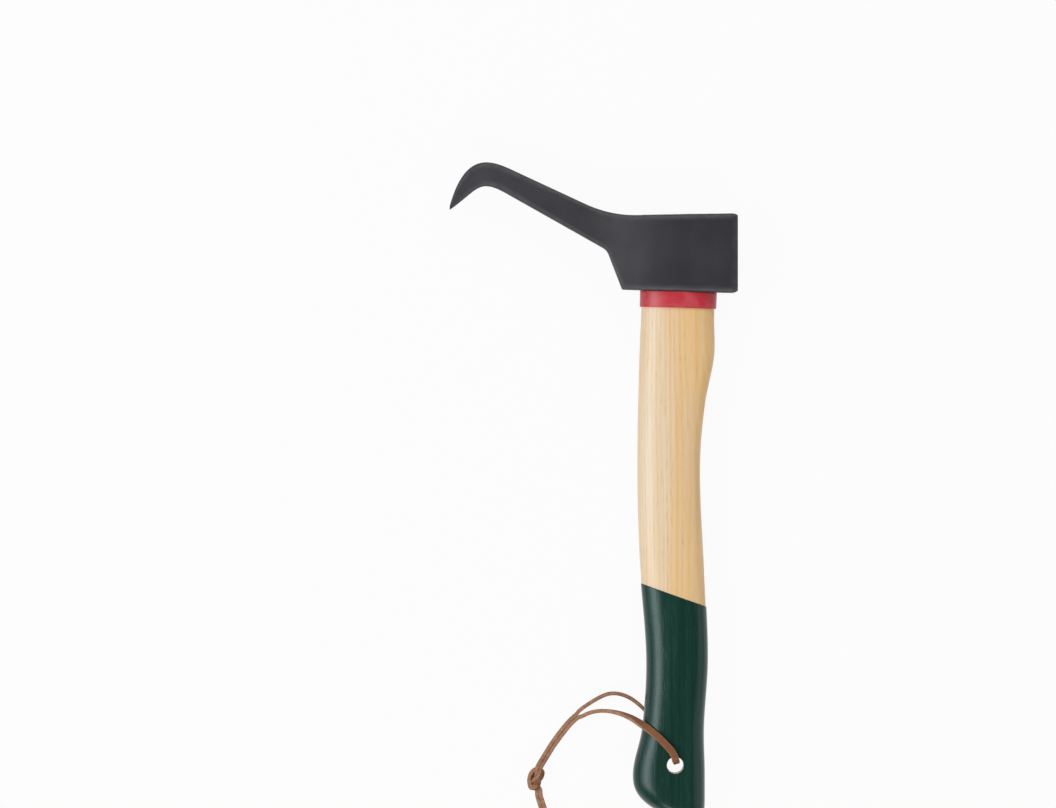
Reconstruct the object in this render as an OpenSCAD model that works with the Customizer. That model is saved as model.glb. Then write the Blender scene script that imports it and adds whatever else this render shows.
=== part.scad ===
// Hand log pick: a forged beaked head on a short curved ash handle, with a leather thong.
// Sizes are in millimetres. The tool lies on its side: +X points from the beak to the poll,
// +Y runs along the handle towards the head, and +Z points up from the resting surface.
// The origin is on the resting cheek, straight under the middle of the eye.

/* [Head] */
// Thickness of the head across its cheeks
head_t = 30; // [28:0.5:36]
// Height of the top face above the middle of the eye
top_rise = 23; // [20:0.5:30]
// Depth of the underside below the middle of the eye
under_drop = 23; // [20:0.5:30]
// Slope of the top face, rising towards the poll, in degrees
top_slope = 1; // [0:0.25:3]
// Slope of the underside, falling towards the poll, in degrees
under_slope = 1.7; // [0:0.1:3]
// Distance from the middle of the eye to the poll face
poll_reach = 35.7; // [33:0.1:50]
// Distance from the middle of the eye to the lower front corner of the head
front_reach = 33.5; // [31:0.5:38]
// Width of the rounded edges, measured over the cheek
edge_w = 4; // [1:0.5:6]
// Depth of the rounded edges, measured through the thickness
edge_t = 2; // [0.5:0.25:2.5]
// Radius of the poll's corners in side view
poll_corner = 1.5; // [0.5:0.25:4]

/* [Beak] */
// Distance from the middle of the eye to the tip of the beak
tip_reach = 137; // [130:1:150]
// Height of the tip above the middle of the eye
tip_rise = 27; // [20:0.5:32]
// Thickness of the tip
tip_t = 3; // [2:0.25:5]
// Height of the blunt edge at the tip
tip_h = 1.2; // [0.8:0.1:3]
// Slope of the beak's top edge, in degrees
beak_top_slope = 25; // [20:0.5:30]
// Slope of the beak's lower edge, in degrees
beak_under_slope = 29.4; // [24:0.2:34]
// Length of the straight part of the beak's top edge
beak_top_straight = 47.7; // [35:0.5:55]
// Length of the straight part of the beak's lower edge
beak_under_straight = 69.5; // [60:0.5:75]
// Distance from the middle of the eye to where the straight top edge starts
root_reach = 56.4; // [50:0.2:60]
// Height of that start above the middle of the eye
root_rise = 29.7; // [27:0.1:33]
// Distance from the middle of the eye to the brow, where beak and front edge meet
brow_reach = 42.6; // [38:0.2:46]
// Height of the brow above the middle of the eye
brow_rise = 2; // [-2:0.5:5]
// Thickness of the beak at its root
root_t = 16.5; // [12:0.5:20]
// Thickness of the beak at its bend
bend_t = 12; // [8:0.5:14]

/* [Eye and wedges] */
// Length of the eye at the underside
eye_l = 41; // [36:0.5:42]
// Width of the eye at the underside
eye_w = 20; // [16:0.5:21]
// How much longer and wider the eye is at the top face
eye_flare = 2; // [0.5:0.25:3]
// Clearance between the tenon and the eye, on each side
eye_fit = 0.1; // [0.05:0.05:0.3]
// How far the tenon stands out of the top face
tenon_proud = 0.3; // [0:0.1:3]
// Depth of the saw kerf, measured from the top face
kerf_depth = 34; // [24:1:40]
// Width of the saw kerf
kerf_w = 1.2; // [0.8:0.1:2]
// Depth of the wooden wedge
wood_wedge_depth = 30; // [18:1:34]
// Thickness of the wooden wedge at the top face
wood_wedge_t = 4.6; // [3:0.2:6]
// Length of the steel wedge's edge
steel_wedge_l = 20; // [12:1:22]
// Depth of the steel wedge
steel_wedge_depth = 22; // [12:1:24]
// Thickness of the steel wedge at the top face
steel_wedge_t = 2.6; // [1.6:0.2:3.4]
// Turn of the steel wedge across the wooden one, in degrees
steel_wedge_turn = 35; // [20:5:40]
// Clearance around both wedges
wedge_fit = 0.05; // [0.03:0.01:0.1]

/* [Handle] */
// Length of the handle below the head
handle_l = 316.6; // [300:0.2:400]
// Length of the wide shoulder below the head
shoulder_l = 39; // [30:1:50]
// Distance below the head to the belly
belly_at = 106; // [95:1:120]
// Distance below the head to the slimmest part of the grip
grip_at = 220; // [200:1:230]
// Distance below the head to the widest part of the foot
swell_at = 290; // [285:1:296]
// Offset of the front edge at the neck, from the line through the eye
front_neck = 21.7; // [21:0.1:24]
// Offset of the front edge at the end of the shoulder
front_shoulder = 23.2; // [21:0.1:26]
// Offset of the front edge at the belly
front_belly = 24.4; // [20:0.1:28]
// Offset of the front edge at the grip
front_grip = 18.7; // [15:0.1:22]
// Offset of the front edge at the foot
front_swell = 26.7; // [22:0.1:32]
// Offset of the back edge at the neck
back_neck = 22.3; // [21:0.1:24]
// Offset of the back edge at the end of the shoulder
back_shoulder = 21.7; // [19:0.1:24]
// Offset of the back edge at the belly
back_belly = 13.2; // [11:0.1:18]
// Offset of the back edge at the grip
back_grip = 17.6; // [14:0.1:20]
// Offset of the back edge just above the foot
back_waist = 15.2; // [13:0.1:18]
// Offset of the back edge at the foot
back_swell = 15.7; // [13:0.1:20]
// Thickness of the handle at the neck
neck_t = 24.4; // [23:0.2:26]
// Thickness of the handle at the belly
belly_t = 22; // [18:0.2:25]
// Thickness of the handle at the grip
grip_t = 22.4; // [18:0.2:25]
// Thickness of the handle at the foot
swell_t = 24.6; // [20:0.2:24.6]
// Gap between the handle's shoulder and the underside of the head
shoulder_gap = 0.2; // [0.1:0.1:0.5]

/* [Collar and grip coating] */
// Length of the collar under the head
collar_l = 10; // [5:0.5:20]
// Wall of the collar
collar_wall = 0.75; // [0.5:0.05:0.8]
// Thickness of the dipped grip coating
coat_wall = 0.4; // [0.3:0.05:0.4]
// Distance below the head to the coating's edge, on the line through the eye
coat_at = 183; // [150:1:220]
// Slope of the coating's edge, in degrees
coat_slope = 19.5; // [0:0.5:30]

/* [Thong] */
// Width of the leather lace
lace_w = 4.2; // [3:0.1:4.4]
// Thickness of the leather lace
lace_t = 2.1; // [1.4:0.1:2.2]
// Diameter of the thong's hole
hole_d = 10; // [9.5:0.5:12]
// Distance below the head to the middle of the hole
hole_at = 284; // [282:0.5:286]
// Offset of the hole's middle from the line through the eye, towards the beak
hole_front = 1.8; // [0:0.2:3]
// Diameter of the strand that stands for the doubled lace in the knot
knot_strand_d = 2.3; // [1.8:0.1:2.4]

/* [Hidden] */

mid_z = head_t / 2;
top_y = top_rise;
under_y = -under_drop;
hole_x = -hole_front;
hole_y = under_y - hole_at;

// Larger than the whole tool, for cutting with half spaces and through the whole thickness
beyond = 500;
// How far the tenon and its cutters run past the faces that they meet
overrun = 6;

// Steps of the shapes: rings along a stretch and points on a rounded section
nose_steps = 10;
shank_steps = 3;
root_steps = 6;
corner_steps = 4;
poll_steps = 3;
handle_steps = 38;
foot_steps = 8;
handle_sides = 28;
eye_sides = 32;
lace_sides = 8;
knot_sides = 10;

// Fullness of the ovals: 2 is an ellipse, and larger is squarer
handle_fullness = 2.4;
eye_fullness = 2.8;
lace_fullness = 5;

// The curves of the beak's nose, as pulls at the ends of their curves, with directions in degrees
nose_top_pull = 36.5;
nose_top_angle = 75;
nose_under_pull = 20.8;
nose_under_angle = 36;
bend_top_pull = 13.3;
bend_under_pull = 19.6;
// How fast the nose thickens behind the tip: below 1 is quick at first
nose_swell = 0.8;
// The hollow where the beak's top edge runs out into the top face
top_front_reach = 24;
root_pull = 9;
top_front_pull = 14;
// The rounding of the brow
brow_round = 4.5;
// Where the cheeks reach their full thickness, and the thickness at the front of the head
cheek_front = 12;
front_t = 27;

// The foot's end: its flat, and how its slanted front, its back and its sides round off
foot_end_front = 0.5;
foot_end_back = 8;
foot_end_t = 10;
foot_slant_power = 2.6;
foot_back_power = 10;
foot_side_power = 6;

// The laces' routes, from the middle of the hole to the knot and from the knot to their ends
front_route = [
    [-1.2, -304.9, 15], [-1.2, -304.9, 20], [-1.2, -304.9, 24.4], [-1.3, -304.7, 26.8],
    [-1.5, -304, 28.3], [-1.9, -302.8, 29.2], [-2.5, -301, 29.5], [-4.4, -298, 29.4],
    [-7.8, -294.2, 29.1], [-12.2, -289.8, 28.3], [-16.6, -286.2, 26.7], [-20.6, -283.4, 23.9],
    [-24.6, -280.8, 20.4], [-29.4, -278.2, 17], [-35.2, -276.2, 13.4], [-41.2, -275.1, 10.2],
    [-47, -275, 7.4], [-52.6, -276.1, 5], [-57.4, -278.3, 3.3], [-61.2, -280.6, 2.4],
    [-64.8, -283.9, 2.2], [-69.9, -290.2, 2.2], [-74.9, -297.2, 2.4], [-79.2, -304.2, 3.6],
    [-81, -307, 5.1], [-82.2, -309.4, 6.1]];
back_route = [
    [-1.2, -304.9, 15], [-1.2, -304.9, 10], [-1.2, -304.9, 5.6], [-1.3, -304.7, 3.4],
    [-1.5, -304, 1.9], [-1.9, -302.9, 1.25], [-2.5, -301.2, 1.1], [-4.4, -298, 1.1],
    [-8.7, -291, 1.1], [-13, -284.2, 1.1], [-17.2, -277.8, 1.1], [-20.6, -273.8, 1.25],
    [-24.6, -270.2, 1.6], [-29.4, -267, 2], [-35.2, -264.9, 2.3], [-41.2, -264.8, 2.4],
    [-47, -267, 2.4], [-52.8, -270.4, 2.3], [-58, -274, 2.2], [-62.4, -277.9, 2.2],
    [-66.2, -281.8, 2.2], [-71.6, -288.6, 2.2], [-76.6, -295.6, 2.4], [-81.1, -302.8, 3.4],
    [-83.1, -306.2, 4.9], [-84.7, -309.4, 6.1]];
tail_a_route = [
    [-82.4, -323.2, 4.2], [-82.2, -326, 3.4], [-81.1, -329.4, 2.6], [-79.4, -333.8, 2.2],
    [-76.8, -339, 2.2], [-73, -344.2, 2.2], [-68.4, -348.8, 2.2], [-63.4, -352.6, 2.2]];
tail_b_route = [
    [-84.7, -323.2, 4.2], [-84.5, -326.4, 3.4], [-83.4, -330.2, 2.6], [-82.2, -334.6, 2.2],
    [-80.4, -339.8, 2.2], [-78.3, -345.2, 2.2], [-76.5, -350.6, 2.2], [-75.3, -355.8, 2.2]];
// The overhand knot in the doubled lace, from the laces to the tails. The strand passes itself
// with a little air, so that it stays one simple solid
knot_route = [
    [-83.4, -309.4, 6.2], [-83.5, -311.5, 6.1], [-83.5, -313.5, 6], [-83.4, -315.6, 5.8],
    [-83.5, -317.7, 5.9], [-84.3, -319.5, 6.2], [-86, -320.6, 5.9], [-87.5, -320.6, 4.6],
    [-88.4, -319.5, 3.1], [-88.9, -317.8, 2], [-88.8, -315.9, 1.4], [-88.1, -314, 1.3],
    [-86.7, -312.4, 1.7], [-85.1, -311.5, 2.5], [-83.2, -311.1, 3.4], [-81.5, -311.3, 4.5],
    [-80.8, -312, 6.2], [-80.7, -313.1, 7.9], [-81.5, -314.7, 9], [-83.1, -316, 8.8],
    [-84.9, -316.8, 8.1], [-86.1, -317.1, 6.5], [-85.9, -317.8, 4.6], [-85, -319.3, 3.6],
    [-84.1, -321.2, 3.4], [-83.6, -323.2, 3.6]];
// The points between which each lace turns from lying flat to standing on its edge
front_turn = [11, 15.5];
back_turn = [10, 14];
// Each tail stands on its edge all the way
tail_turn = [-2, -1];
// The way in which the lace's width lies inside the hole
hole_side = [1, 0, 0];
// Directions in which a lace starts or ends
up = [0, 0, 1];
down = [0, 0, -1];
towards_foot = [0, -1, 0];

// General functions
function unit(v) = v / norm(v);
function blend(a, b, t) = a + (b - a) * t;
function smooth(t) = let (c = max(0, min(1, t))) c * c * (3 - 2 * c);
function direction(angle) = [cos(angle), sin(angle)];
function signed_power(v, p) = sign(v) * pow(abs(v), p);
function bezier(p, t) =
    pow(1 - t, 3) * p[0] + 3 * pow(1 - t, 2) * t * p[1] + 3 * (1 - t) * t * t * p[2] + pow(t, 3) * p[3];

// A smooth curve through keys of [place, value], flat at its last key
function key_slope(keys, i) =
    i == len(keys) - 1 ? 0
    : let (a = keys[max(0, i - 1)], b = keys[i + 1]) (b[1] - a[1]) / (b[0] - a[0]);
function key_before(keys, at, i = 0) =
    i >= len(keys) - 2 || at < keys[i + 1][0] ? i : key_before(keys, at, i + 1);
function through_keys(keys, at) =
    let (i = key_before(keys, at), a = keys[i], b = keys[i + 1], span = b[0] - a[0], t = (at - a[0]) / span)
    (2 * t * t * t - 3 * t * t + 1) * a[1] + (t * t * t - 2 * t * t + t) * span * key_slope(keys, i)
    + (3 * t * t - 2 * t * t * t) * b[1] + (t * t * t - t * t) * span * key_slope(keys, i + 1);

// An oval of the given fullness, in the plane
function oval(length, width, fullness, sides) =
    [for (k = [0:sides - 1]) let (a = 360 * (k + 0.5) / sides)
        [length / 2 * signed_power(cos(a), 2 / fullness), width / 2 * signed_power(sin(a), 2 / fullness)]];

// A closed solid through rings that have the same number of points, each of which
// turns anticlockwise when seen from the last ring
module loft(rings) {
    count = len(rings[0]);
    last = (len(rings) - 1) * count;
    polyhedron(
        points = [for (ring = rings) each ring],
        faces = concat(
            [[for (k = [0:count - 1]) k]],
            [for (i = [0:len(rings) - 2]) for (k = [0:count - 1])
                let (a = i * count + k, b = i * count + (k + 1) % count)
                each [[b, a, b + count], [b + count, a, a + count]]],
            [[for (k = [count - 1:-1:0]) last + k]]),
        convexity = 8);
}

// Lays a flat outline across the handle, at a height above the eye's middle
function across_handle(outline, y) = [for (p = outline) [p.x, y, mid_z + p.y]];

// Everything above a line through x = 0 in side view
module above(y, slope) {
    translate([0, y, 0]) rotate([0, 0, slope]) translate([-beyond / 2, 0, -beyond / 2])
        cube([beyond, beyond, beyond]);
}

// Everything below such a line
module below(y, slope) {
    translate([0, y, 0]) rotate([0, 0, slope]) translate([-beyond / 2, -beyond, -beyond / 2])
        cube([beyond, beyond, beyond]);
}

// The head's outline in side view
tip = [-tip_reach, tip_rise];
top_bend = [-root_reach, root_rise] + beak_top_straight * direction(180 - beak_top_slope);
top_root = [-root_reach, root_rise];
top_front = [-top_front_reach, top_y - top_front_reach * tan(top_slope)];
top_poll = [poll_reach, top_y + poll_reach * tan(top_slope)];
brow = [-brow_reach, brow_rise];
under_bend = brow + beak_under_straight * direction(180 - beak_under_slope);
under_front = [-front_reach, under_y + front_reach * tan(under_slope)];
under_poll = [poll_reach, under_y - poll_reach * tan(under_slope)];
front_edge = unit(under_front - brow);
brow_start = brow + brow_round * direction(180 - beak_under_slope);
brow_end = brow + brow_round * front_edge;

nose_top = [tip + [0, tip_h / 2], tip + nose_top_pull * direction(nose_top_angle),
            top_bend + bend_top_pull * direction(180 - beak_top_slope), top_bend];
nose_under = [tip - [0, tip_h / 2], tip + nose_under_pull * direction(nose_under_angle),
              under_bend + bend_under_pull * direction(180 - beak_under_slope), under_bend];
root_top = [top_root, top_root - root_pull * direction(180 - beak_top_slope),
            top_front - top_front_pull * direction(top_slope), top_front];
brow_curve = [brow_start, blend(brow_start, brow, 0.6), blend(brow_end, brow, 0.6), brow_end];

// The lower edge of the root: half of its steps round the brow, the rest run down the front
function root_under(t) =
    t < 0.5 ? bezier(brow_curve, 2 * t) : blend(brow_end, under_front, 2 * t - 1);
// Thickness at the front part of the cheeks
function cheek_t(x) =
    blend(front_t, head_t, smooth((x + top_front_reach) / (top_front_reach - cheek_front)));

// Sections of the head, each as [top point, lower point, thickness]
nose_sections = [for (i = [0:nose_steps - 1]) let (t = i / nose_steps)
    [bezier(nose_top, t), bezier(nose_under, t), blend(tip_t, bend_t, pow(t, nose_swell))]];
shank_sections = [for (i = [0:shank_steps - 1]) let (t = i / shank_steps)
    [blend(top_bend, top_root, t), blend(under_bend, brow_start, t), blend(bend_t, root_t, t)]];
root_sections = [for (i = [0:root_steps - 1]) let (t = i / root_steps)
    [bezier(root_top, t), root_under(t), blend(root_t, front_t, t)]];
cheek_sections = [for (x = [-top_front_reach, -(top_front_reach + cheek_front) / 2, -cheek_front])
    let (t = (x + top_front_reach) / (poll_reach + top_front_reach))
    [blend(top_front, top_poll, t), blend(under_front, under_poll, t), cheek_t(x)]];
poll_sections = [for (i = [0:poll_steps]) let (
        a = 90 * i / poll_steps,
        t = 1 - edge_w * (1 - sin(a)) / (poll_reach + top_front_reach),
        drop = [0, poll_corner * (1 - cos(a))])
    [blend(top_front, top_poll, t) - drop, blend(under_front, under_poll, t) + drop,
     head_t - 2 * edge_t * (1 - cos(a))]];
head_sections = concat(nose_sections, shank_sections, root_sections, cheek_sections, poll_sections);

// One ring of the head: a rectangle with rounded corners, standing on the side view's plane
function head_ring(section) = let (
        top = section[0],
        under = section[1],
        half_h = norm(top - under) / 2,
        half_t = section[2] / 2,
        rise = unit(top - under),
        middle = (top + under) / 2,
        round_h = min(edge_w, 0.6 * half_h),
        round_t = min(edge_t, 0.6 * half_t))
    [for (quarter = [0:3]) for (k = [0:corner_steps]) let (
            a = 90 * (quarter + k / corner_steps),
            side_h = quarter == 0 || quarter == 3 ? 1 : -1,
            side_t = quarter < 2 ? 1 : -1,
            h = side_h * (half_h - round_h) + round_h * cos(a),
            place = middle + h * rise)
        [place.x, place.y, mid_z + side_t * (half_t - round_t) + round_t * sin(a)]];

// The eye's oval grows evenly from the underside to the top face
function eye_growth(y) = eye_flare * (y - under_y) / (top_y - under_y);
function eye_ring(y, gap) = across_handle(
    oval(eye_l + eye_growth(y) - 2 * gap, eye_w + eye_growth(y) - 2 * gap, eye_fullness, eye_sides), y);
module eye_prism(low_y, high_y, gap) {
    loft([eye_ring(high_y, gap), eye_ring(low_y, gap)]);
}

// A wedge driven in from the top face: a plate that thins evenly down to its edge
function plate_outline(length, thickness, turn) = [for (corner = [[1, 1], [-1, 1], [-1, -1], [1, -1]])
    let (x = corner.x * length / 2, z = corner.y * thickness / 2)
        [x * cos(turn) - z * sin(turn), x * sin(turn) + z * cos(turn)]];
module wedge_plate(depth, length, thickness, edge, turn, gap) {
    run_t = thickness + (thickness - edge) * overrun / depth;
    loft([
        across_handle(plate_outline(length + 2 * gap, run_t + 2 * gap, turn), top_y + overrun),
        across_handle(plate_outline(length + 2 * gap, edge + 2 * gap, turn), top_y - depth)]);
}
module wood_wedge_plate(gap) {
    wedge_plate(wood_wedge_depth, beyond / 4, wood_wedge_t, kerf_w, 0, gap);
}
module steel_wedge_plate(gap) {
    wedge_plate(steel_wedge_depth, steel_wedge_l, steel_wedge_t, kerf_w / 2, steel_wedge_turn, gap);
}

// The handle's edges and thickness, by distance below the head
front_keys = [
    [0, front_neck], [shoulder_l * 0.4, blend(front_neck, front_shoulder, 0.3)],
    [shoulder_l, front_shoulder], [belly_at, front_belly],
    [blend(belly_at, grip_at, 0.48), blend(front_belly, front_grip, 0.26)], [grip_at, front_grip],
    [blend(grip_at, swell_at, 0.6), blend(front_grip, front_swell, 0.31)], [swell_at, front_swell]];
back_keys = [
    [0, back_neck], [shoulder_l * 0.4, back_shoulder], [shoulder_l, back_shoulder],
    [blend(shoulder_l, belly_at, 0.43), blend(back_shoulder, back_belly, 0.65)], [belly_at, back_belly],
    [blend(belly_at, grip_at, 0.54), blend(back_belly, back_grip, 0.55)], [grip_at, back_grip],
    [blend(grip_at, swell_at, 0.6), back_waist], [swell_at, back_swell]];
thick_keys = [[0, neck_t], [shoulder_l, blend(neck_t, belly_t, 0.3)], [belly_at, belly_t], [grip_at, grip_t],
              [swell_at, swell_t]];
// How far the foot has rounded off: 1 at its widest part and 0 at its end
function foot_share(u, power, root) = pow(max(0, 1 - pow(u, power)), 1 / root);

// One ring of the handle. Up to the swell it is placed by distance, and u runs over the foot
function handle_ring(at, u, grow) = let (
        front = (u == 0 ? through_keys(front_keys, at)
            : blend(foot_end_front, front_swell, foot_share(u, foot_slant_power, 1))) + grow,
        back = (u == 0 ? through_keys(back_keys, at)
            : blend(foot_end_back, back_swell, foot_share(u, foot_back_power, 2))) + grow,
        thick = (u == 0 ? through_keys(thick_keys, at)
            : blend(foot_end_t, swell_t, foot_share(u, foot_side_power, 2))) + 2 * grow,
        y = under_y - at - u * (handle_l - swell_at + grow))
    [for (p = oval(front + back, thick, handle_fullness, handle_sides))
        [(back - front) / 2 + p.x, y, mid_z + p.y]];
// Places of the handle's rings, from inside the head's line to the swell
ring_places = [for (i = [0:handle_steps]) blend(-overrun / 3, swell_at, i / handle_steps)];
function handle_rings(grow, first, last, with_foot) = concat(
    [for (i = [first:last]) handle_ring(ring_places[i], 0, grow)],
    with_foot ? [for (i = [1:foot_steps]) handle_ring(swell_at, sin(90 * i / foot_steps), grow)] : []);
// The first ring at or below a distance, and the last ring at or above it
function ring_after(at) = min([for (i = [0:handle_steps]) if (ring_places[i] >= at) i]);
function ring_before(at) = max([for (i = [0:handle_steps]) if (ring_places[i] <= at) i]);

module thong_hole() {
    translate([hole_x, hole_y, -beyond / 4]) cylinder(d = hole_d, h = beyond / 2, $fn = 64);
}

// A flat lace swept along its route. Its width lies level, and between the two points of turn
// the lace rolls onto its edge
function tangent(route, i, first_way, last_way) =
    i == 0 ? first_way : i == len(route) - 1 ? last_way
    : unit(unit(route[i + 1] - route[i]) + unit(route[i] - route[i - 1]));
function level_side(way) = norm([way.x, way.y]) < 0.01 ? hole_side : unit(cross(way, up));
module lace(route, first_way, last_way, turn) {
    section = oval(lace_w, lace_t, lace_fullness, lace_sides);
    rings = [for (i = [0:len(route) - 1]) let (
            way = tangent(route, i, first_way, last_way),
            side = level_side(way),
            roll = 90 * smooth((i - turn[0]) / (turn[1] - turn[0])),
            wide = side * cos(roll) + cross(way, side) * sin(roll),
            thin = cross(way, wide))
        [for (p = section) route[i] + p.x * wide + p.y * thin]];
    loft(rings);
}

module head() {
    color("#3c3b40") difference() {
        loft([for (section = head_sections) head_ring(section)]);
        eye_prism(under_y - overrun, top_y + overrun, 0);
    }
}

module handle() {
    color("#e2c49a") difference() {
        union() {
            difference() {
                loft(handle_rings(0, 0, handle_steps, true));
                above(under_y - shoulder_gap, -under_slope);
            }
            eye_prism(under_y - overrun, top_y + overrun, eye_fit);
        }
        above(top_y + tenon_proud, top_slope);
        translate([-beyond / 8, top_y - kerf_depth, mid_z - kerf_w / 2])
            cube([beyond / 4, kerf_depth - wood_wedge_depth, kerf_w]);
        wood_wedge_plate(wedge_fit);
        steel_wedge_plate(wedge_fit);
        thong_hole();
    }
}

module wood_wedge() {
    color("#b98e5c") difference() {
        intersection() {
            eye_prism(under_y, top_y + overrun, eye_fit);
            wood_wedge_plate(0);
        }
        above(top_y + tenon_proud, top_slope);
        steel_wedge_plate(wedge_fit);
    }
}

module steel_wedge() {
    color("#8a8d92") difference() {
        steel_wedge_plate(0);
        above(top_y + tenon_proud, top_slope);
    }
}

module neck_collar() {
    last = ring_after(collar_l + overrun / 2);
    color("#bd4c54") difference() {
        loft(handle_rings(collar_wall, 0, last, false));
        loft(handle_rings(0, 0, last, false));
        above(under_y - shoulder_gap, -under_slope);
        below(under_y - collar_l, -under_slope);
    }
}

module grip_coating() {
    // The sloping edge rises this much from the line through the eye to the front edge
    edge_rise = front_belly * tan(coat_slope);
    first = ring_before(coat_at - edge_rise - overrun / 2);
    color("#1d3c32") difference() {
        loft(handle_rings(coat_wall, first, handle_steps, true));
        loft(handle_rings(0, first, handle_steps, true));
        above(under_y - coat_at, -coat_slope);
        thong_hole();
    }
}

module lanyard_front() {
    color("#8d6f57") lace(front_route, up, towards_foot, front_turn);
}

module lanyard_back() {
    color("#7f6450") lace(back_route, down, towards_foot, back_turn);
}

// The way across the knot's strand, which is carried along the route without turning round it
function carried_side(i) = let (way = tangent(knot_route, i, towards_foot, towards_foot))
    i == 0 ? hole_side : let (side = carried_side(i - 1)) unit(side - (side * way) * way);
module lanyard_knot() {
    section = oval(knot_strand_d, knot_strand_d, 2, knot_sides);
    color("#96654e") loft([for (i = [0:len(knot_route) - 1]) let (
            way = tangent(knot_route, i, towards_foot, towards_foot),
            side = carried_side(i),
            other = cross(way, side))
        [for (p = section) knot_route[i] + p.x * side + p.y * other]]);
}

module tail(route) {
    last = len(route) - 1;
    color("#8d6f57") lace(route, towards_foot, unit(route[last] - route[last - 1]), tail_turn);
}

module lanyard_tail_a() {
    tail(tail_a_route);
}

module lanyard_tail_b() {
    tail(tail_b_route);
}

head();
handle();
wood_wedge();
steel_wedge();
neck_collar();
grip_coating();
lanyard_front();
lanyard_back();
lanyard_knot();
lanyard_tail_a();
lanyard_tail_b();
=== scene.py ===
"""Looks for a hand log pick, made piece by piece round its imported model."""

import math

import bpy
import numpy as np
from bpy.props import FloatProperty, FloatVectorProperty, PointerProperty
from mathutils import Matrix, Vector


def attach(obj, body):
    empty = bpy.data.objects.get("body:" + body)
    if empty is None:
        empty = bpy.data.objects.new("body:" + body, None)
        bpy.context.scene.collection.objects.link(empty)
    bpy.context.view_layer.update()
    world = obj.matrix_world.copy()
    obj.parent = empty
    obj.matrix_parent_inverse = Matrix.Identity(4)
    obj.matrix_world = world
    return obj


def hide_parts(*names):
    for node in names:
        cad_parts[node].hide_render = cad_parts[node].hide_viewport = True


bl_info = {
    "name": "Hand log pick",
    "version": (1, 0, 0),
    "blender": (4, 5, 0),
    "location": "3D View > Sidebar > Log Pick",
    "description": "Makes the head, handle, collar, grip coating and leather thong of a hand log pick",
    "category": "Add Mesh",
}

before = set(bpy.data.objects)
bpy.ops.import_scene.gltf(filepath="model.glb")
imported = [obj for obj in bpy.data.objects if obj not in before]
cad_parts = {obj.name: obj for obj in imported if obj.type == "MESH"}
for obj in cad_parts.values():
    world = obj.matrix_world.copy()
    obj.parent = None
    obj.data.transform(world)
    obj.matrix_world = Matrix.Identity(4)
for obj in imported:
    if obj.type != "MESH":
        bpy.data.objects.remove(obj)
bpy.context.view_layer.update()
BODY = "root"

# The picture's width in pixels, the metres of the tool that one pixel covers, and the place in its middle
PICTURE_WIDTH = 1056
PIXEL = 0.0006
PICTURE_MIDDLE = (-0.090, -0.0906)

UP = np.array([0.0, 0.0, 1.0])
TOWARDS_FOOT = np.array([0.0, -1.0, 0.0])


def linear(red, green, blue):
    """A colour from its three screen values between 0 and 255."""

    def channel(value):
        value /= 255
        return value / 12.92 if value <= 0.04045 else ((value + 0.055) / 1.055) ** 2.4

    return tuple(channel(value) for value in (red, green, blue))


def length(name, text, default):
    return FloatProperty(
        name=name, description=text, default=default, min=0, max=1, subtype="DISTANCE", unit="LENGTH", precision=5
    )


def colour(name, text, *screen):
    return FloatVectorProperty(
        name=name, description=text, default=linear(*screen), min=0, max=1, size=3, subtype="COLOR"
    )


class HeadSizes(bpy.types.PropertyGroup):
    thickness: length("Thickness", "Thickness of the head across its cheeks", 0.030)
    top_rise: length("Top", "Height of the top face above the eye's middle", 0.023)
    under_drop: length("Underside", "Depth of the underside below the eye's middle", 0.023)
    poll_reach: length("Poll", "Distance from the eye's middle to the poll face", 0.0357)
    front_reach: length("Front", "Distance from the eye's middle to the lower front corner", 0.0335)
    tip_reach: length("Beak", "Distance from the eye's middle to the beak's point", 0.137)
    tip_rise: length("Point", "Height of the beak's point above the eye's middle", 0.027)
    edge_width: length("Edge width", "Width of the rounding along the edges, seen on the cheek", 0.004)
    edge_depth: length("Edge depth", "Depth of the rounding along the edges", 0.002)
    eye_length: length("Eye length", "Length of the eye at the underside", 0.041)
    eye_width: length("Eye width", "Width of the eye at the underside", 0.020)
    eye_flare: length("Eye flare", "How much the eye grows up to the top face", 0.002)


class HandleSizes(bpy.types.PropertyGroup):
    length: length("Length", "Length of the handle below the head", 0.3166)
    hole: length("Hole", "Diameter of the thong's hole", 0.010)
    hole_at: length("Hole's place", "Distance from the head's underside to the middle of the hole", 0.284)
    hole_front: length("Hole's offset", "Offset of the hole's middle towards the beak", 0.0018)
    collar_length: length("Collar length", "Length of the collar under the head", 0.010)
    collar_wall: length("Collar wall", "Wall of the collar", 0.0011)
    coat_wall: length("Coating", "Thickness of the dipped coating", 0.0004)
    coat_at: length("Coating's edge", "Distance from the head's underside to the coating's edge", 0.183)


class ThongSizes(bpy.types.PropertyGroup):
    width: length("Width", "Width of the leather lace", 0.0042)
    thickness: length("Thickness", "Thickness of the leather lace", 0.0023)
    corner: length("Corner", "Rounding of the lace's corners", 0.0005)


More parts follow.
